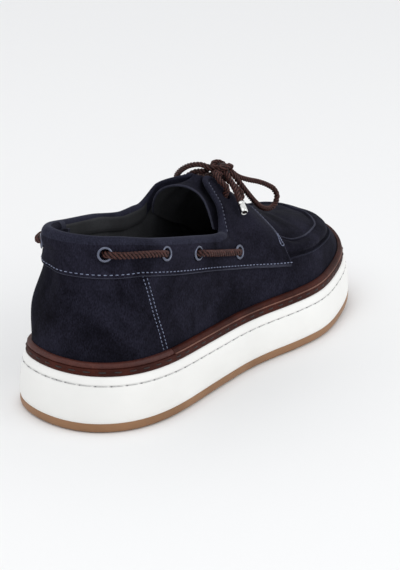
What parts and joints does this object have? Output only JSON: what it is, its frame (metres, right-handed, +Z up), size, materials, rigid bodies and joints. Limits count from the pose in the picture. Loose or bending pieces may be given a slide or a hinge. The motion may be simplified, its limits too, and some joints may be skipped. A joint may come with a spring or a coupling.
{
  "type": "moc-toe boat shoe",
  "caption": "Low suede boat shoe with a moccasin toe, a lace through the collar, a bow over the throat and a thick cup sole.",
  "frame": {"origin": "on the floor under the middle of the shoe's box, the free bow left out", "axes": "+X to the toe, +Y to the inner (medial) side, +Z up"},
  "size_m": [0.2965, 0.1053, 0.1169],
  "materials": {
    "gum_rubber": "matte tan gum",
    "white_rubber": "satin white",
    "lining_leather": "smooth dark grey",
    "brown_leather": "satin reddish brown",
    "navy_suede": "brushed nap, dark navy",
    "brown_cord": "round braided cord",
    "eyelet_metal": "satin gunmetal blue",
    "aglet_metal": "bright silver"
  },
  "bodies": {
    "root": {"outsole": "gum_rubber", "midsole": "white_rubber", "insole": "lining_leather", "welt": "brown_leather", "rand_heel": "brown_leather", "rand_front": "brown_leather", "upper": "navy_suede", "saddle": "navy_suede", "tongue": "navy_suede", "eyelet_lateral_1": "eyelet_metal", "eyelet_lateral_2": "eyelet_metal", "eyelet_lateral_3": "eyelet_metal", "eyelet_lateral_4": "eyelet_metal", "eyelet_medial_1": "eyelet_metal", "eyelet_medial_2": "eyelet_metal", "eyelet_medial_3": "eyelet_metal", "eyelet_medial_4": "eyelet_metal", "lace_run_lateral_rear": "brown_cord", "lace_run_lateral_front": "brown_cord", "lace_run_medial_rear": "brown_cord", "lace_run_medial_front": "brown_cord", "lace_bar": "brown_cord", "lace_top_lateral": "brown_cord", "lace_top_medial": "brown_cord", "lace_knot": "brown_cord", "lace_loop_lateral": "brown_cord", "lace_loop_medial": "brown_cord", "lace_end_lateral": "brown_cord", "lace_end_medial": "brown_cord", "aglet_lateral": "aglet_metal", "aglet_medial": "aglet_metal"}
  },
  "joints": []
}
